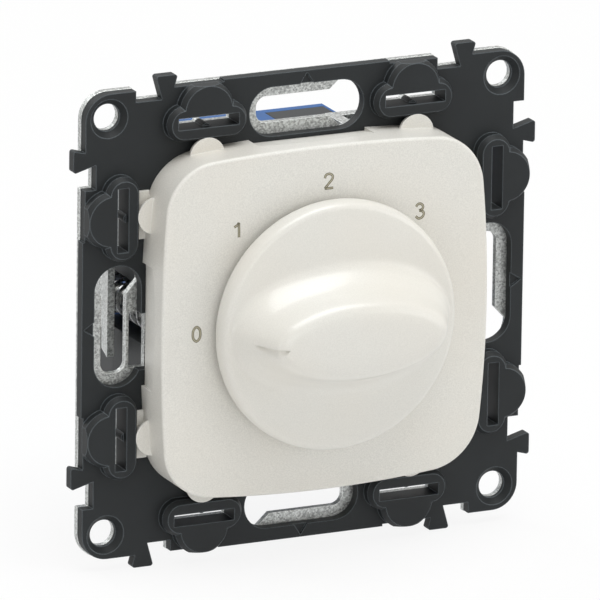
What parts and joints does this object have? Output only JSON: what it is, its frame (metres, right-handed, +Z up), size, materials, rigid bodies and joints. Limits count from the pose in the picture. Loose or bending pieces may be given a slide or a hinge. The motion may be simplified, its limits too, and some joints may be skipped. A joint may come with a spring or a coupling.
{
  "type": "fan speed control switch",
  "caption": "Flush rotary fan speed switch: square cream cover with a round pointer knob on a black frame and steel plate, with a switch body and fixing claws behind.",
  "frame": {"origin": "the middle of the steel support plate's back face, which lies on the wall", "axes": "+X to the right, +Y into the wall, +Z up; the switch faces -Y"},
  "size_m": [0.0748, 0.0489, 0.0748],
  "materials": {
    "galvanised_steel": "galvanised, grainy",
    "black_plastic": "matte moulded",
    "pearl_cover": "fine pearl grain",
    "pearl_knob": "glossy pearl",
    "grey_plastic": "matte moulded",
    "blue_plastic": "matte moulded",
    "shaft_plastic": "smooth moulded",
    "button_plastic": "smooth moulded",
    "screw_steel": "zinc plated",
    "spring_steel": "bright spring strip",
    "contact_brass": "plain stamped"
  },
  "bodies": {
    "switch_body": {"steel_support_plate": "galvanised_steel", "black_frame": "black_plastic", "cover_plate": "pearl_cover", "front_housing": "grey_plastic", "rear_housing": "blue_plastic", "housing_screws": "screw_steel", "detent_spring": "spring_steel", "common_contact": "contact_brass", "speed_one_contact": "contact_brass", "speed_two_contact": "contact_brass", "speed_three_contact": "contact_brass", "terminal_springs": "spring_steel"},
    "knob": {"speed_knob": "pearl_knob", "knob_clip": "spring_steel", "rotor_shaft": "shaft_plastic", "detent_wheel": "shaft_plastic", "wiper_contact": "contact_brass"},
    "left_claw_body": {"left_claw": "galvanised_steel", "left_claw_spring": "spring_steel"},
    "right_claw_body": {"right_claw": "galvanised_steel", "right_claw_spring": "spring_steel"},
    "left_claw_screw_body": {"left_claw_screw": "screw_steel"},
    "right_claw_screw_body": {"right_claw_screw": "screw_steel"},
    "left_button_body": {"left_release_button": "button_plastic"},
    "right_button_body": {"right_release_button": "button_plastic"}
  },
  "joints": [
    {"name": "knob_turn", "type": "hinge", "parent": "switch_body", "child": "knob", "pos_m": [0, 0, 0], "axis": [0, 1, 0], "range_deg": [0, 135], "deforming": ["detent_spring"]},
    {"name": "left_claw_screw_turn", "type": "hinge", "parent": "switch_body", "child": "left_claw_screw_body", "pos_m": [-0.0226, 0, 0], "axis": [0, 1, 0], "range_deg": [0, 2469]},
    {"name": "right_claw_screw_turn", "type": "hinge", "parent": "switch_body", "child": "right_claw_screw_body", "pos_m": [0.0226, 0, 0], "axis": [0, 1, 0], "range_deg": [0, 2469]},
    {"name": "left_claw_travel", "type": "slide", "parent": "switch_body", "child": "left_claw_body", "axis": [-0.4472, -0.8944, 0], "range_m": [0, 0.00537], "deforming": ["left_claw_spring"]},
    {"name": "right_claw_travel", "type": "slide", "parent": "switch_body", "child": "right_claw_body", "axis": [0.4472, -0.8944, 0], "range_m": [0, 0.00537], "deforming": ["right_claw_spring"]},
    {"name": "left_release_button_press", "type": "slide", "parent": "switch_body", "child": "left_button_body", "axis": [0, -1, 0], "range_m": [0, 0.0012], "stiffness_N_per_m": 800},
    {"name": "right_release_button_press", "type": "slide", "parent": "switch_body", "child": "right_button_body", "axis": [0, -1, 0], "range_m": [0, 0.0012], "stiffness_N_per_m": 800}
  ],
  "couplings": [
    {"joint": "left_claw_screw_turn", "follows": "left_claw_travel", "rad_per_m": 8029.1},
    {"joint": "right_claw_screw_turn", "follows": "right_claw_travel", "rad_per_m": 8029.1}
  ]
}
